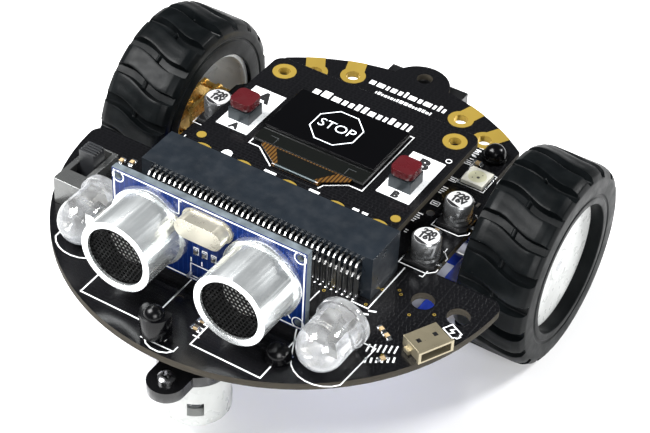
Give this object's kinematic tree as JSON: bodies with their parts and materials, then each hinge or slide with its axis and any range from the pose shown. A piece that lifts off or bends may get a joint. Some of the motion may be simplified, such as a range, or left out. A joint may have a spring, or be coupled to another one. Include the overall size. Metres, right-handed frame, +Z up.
{
  "type": "two wheel robot car",
  "caption": "Round circuit-board robot car with two geared wheels, a ball caster, ultrasonic eyes, headlamps and a plug-in controller with display and push buttons.",
  "frame": {"origin": "centre of the bounding box at floor level, where the two tyres and the caster ball stand", "axes": "+Z up; the ultrasonic sensor faces -Y, so -Y is forwards; +X is towards the USB socket, the robot's left seen from behind the sensor"},
  "size_m": [0.1062, 0.1093, 0.0525],
  "materials": {
    "solder_mask": "glossy black solder mask on glass-epoxy board",
    "gold_plating": "gold-plated copper",
    "connector_plastic": "moulded, satin",
    "tin_contacts": "bright tin",
    "black_plastic": "moulded, satin",
    "blue_mask": "glossy blue solder mask",
    "can_aluminium": "drawn, satin",
    "grille_mesh": "blackened woven mesh",
    "ceramic_core": "ceramic",
    "crystal_can": "nickel-silver",
    "chip_plastic": "moulded epoxy",
    "clear_epoxy": "water-clear epoxy",
    "lead_frame": "silvered",
    "dark_epoxy": "polished dark epoxy",
    "switch_steel": "tinned steel",
    "usb_steel": "stamped stainless steel",
    "capacitor_aluminium": "lacquered aluminium",
    "led_white": "white resin",
    "led_lens": "clear silicone",
    "smd_ceramic": "small ceramic parts",
    "battery_sleeve": "blue shrink sleeve",
    "foam": "double-sided foam tape",
    "motor_steel": "plated steel can",
    "gear_brass": "machined",
    "white_plastic": "moulded white",
    "screw_steel": "zinc plated",
    "black_screw": "black oxide",
    "tyre_rubber": "moulded rubber",
    "ball_steel": "polished steel ball",
    "shaft_steel": "ground steel",
    "display_black": "black polarised glass",
    "display_substrate": "dark glass substrate",
    "flex_film": "amber polyimide film",
    "button_case": "tinned cover over plastic",
    "button_red": "dark red moulded"
  },
  "bodies": {
    "chassis": {"base_board": "solder_mask", "tab_plating": "gold_plating", "edge_connector": "connector_plastic", "edge_contacts": "tin_contacts", "rear_socket": "black_plastic", "sensor_board": "blue_mask", "sensor_header": "black_plastic", "sensor_pins": "tin_contacts", "transmitter_can": "can_aluminium", "receiver_can": "can_aluminium", "sensor_grilles": "grille_mesh", "sensor_cores": "ceramic_core", "sensor_crystal": "crystal_can", "sensor_chips": "chip_plastic", "lamp_left": "clear_epoxy", "lamp_right": "clear_epoxy", "lamp_leads_left": "lead_frame", "lamp_leads_right": "lead_frame", "ir_receiver": "dark_epoxy", "ir_receiver_legs": "tin_contacts", "light_sensor": "dark_epoxy", "switch_case": "switch_steel", "usb_shell": "usb_steel", "usb_tongue": "black_plastic", "capacitor_cans": "capacitor_aluminium", "capacitor_bases": "black_plastic", "rgb_bodies": "led_white", "rgb_lenses": "led_lens", "chip_parts": "smd_ceramic", "battery_pack": "battery_sleeve", "battery_pad": "foam", "motor_left": "motor_steel", "motor_right": "motor_steel", "gearbox_left": "gear_brass", "gearbox_right": "gear_brass", "motor_brackets": "white_plastic", "bracket_screws": "screw_steel", "caster_bracket": "black_plastic", "caster_fasteners": "black_screw", "caster_housing": "white_plastic"},
    "controller": {"controller_board": "solder_mask", "controller_plating": "gold_plating", "display_glass": "display_black", "display_panel": "display_substrate", "display_flex": "flex_film", "button_cases": "button_case"},
    "button_a": {"button_cap_a": "button_red"},
    "button_b": {"button_cap_b": "button_red"},
    "switch_knob": {"switch_knob": "black_plastic"},
    "wheel_left": {"tyre_left": "tyre_rubber", "hub_left": "white_plastic", "axle_left": "shaft_steel"},
    "wheel_right": {"tyre_right": "tyre_rubber", "hub_right": "white_plastic", "axle_right": "shaft_steel"},
    "lay_gear_left": {"lay_gear_left": "gear_brass"},
    "lay_gear_right": {"lay_gear_right": "gear_brass"},
    "rotor_left": {"rotor_left": "gear_brass"},
    "rotor_right": {"rotor_right": "gear_brass"},
    "caster_ball": {"caster_ball": "ball_steel"}
  },
  "joints": [
    {"name": "wheel_left_spin", "type": "hinge", "parent": "chassis", "child": "wheel_left", "pos_m": [-0.045, 0.0201, 0.0225], "axis": [1, 0, 0], "continuous": true},
    {"name": "lay_gear_left_spin", "type": "hinge", "parent": "chassis", "child": "lay_gear_left", "pos_m": [-0.038, 0.0233, 0.0225], "axis": [1, 0, 0], "continuous": true},
    {"name": "rotor_left_spin", "type": "hinge", "parent": "chassis", "child": "rotor_left", "pos_m": [-0.034, 0.0201, 0.0225], "axis": [1, 0, 0], "continuous": true},
    {"name": "wheel_right_spin", "type": "hinge", "parent": "chassis", "child": "wheel_right", "pos_m": [0.045, 0.0201, 0.0225], "axis": [1, 0, 0], "continuous": true},
    {"name": "lay_gear_right_spin", "type": "hinge", "parent": "chassis", "child": "lay_gear_right", "pos_m": [0.038, 0.0233, 0.0225], "axis": [1, 0, 0], "continuous": true},
    {"name": "rotor_right_spin", "type": "hinge", "parent": "chassis", "child": "rotor_right", "pos_m": [0.034, 0.0201, 0.0225], "axis": [1, 0, 0], "continuous": true},
    {"name": "caster_roll", "type": "hinge", "parent": "chassis", "child": "caster_ball", "pos_m": [0, -0.0398, 0.005], "axis": [1, 0, 0], "continuous": true},
    {"name": "power_switch_slide", "type": "slide", "parent": "chassis", "child": "switch_knob", "axis": [0, -1, 0], "range_m": [0, 0.0028]},
    {"name": "controller_unplug", "type": "slide", "parent": "chassis", "child": "controller", "axis": [0, 1, 0], "range_m": [0, 0.01]},
    {"name": "button_a_press", "type": "slide", "parent": "controller", "child": "button_a", "axis": [0, 0, -1], "range_m": [0, 0.00025], "stiffness_N_per_m": 2000, "springref_m": -0.0002},
    {"name": "button_b_press", "type": "slide", "parent": "controller", "child": "button_b", "axis": [0, 0, -1], "range_m": [0, 0.00025], "stiffness_N_per_m": 2000, "springref_m": -0.0002}
  ],
  "couplings": [
    {"joint": "lay_gear_left_spin", "follows": "wheel_left_spin", "ratio": -2.2},
    {"joint": "rotor_left_spin", "follows": "wheel_left_spin", "ratio": 4.84},
    {"joint": "lay_gear_right_spin", "follows": "wheel_right_spin", "ratio": -2.2},
    {"joint": "rotor_right_spin", "follows": "wheel_right_spin", "ratio": 4.84}
  ]
}
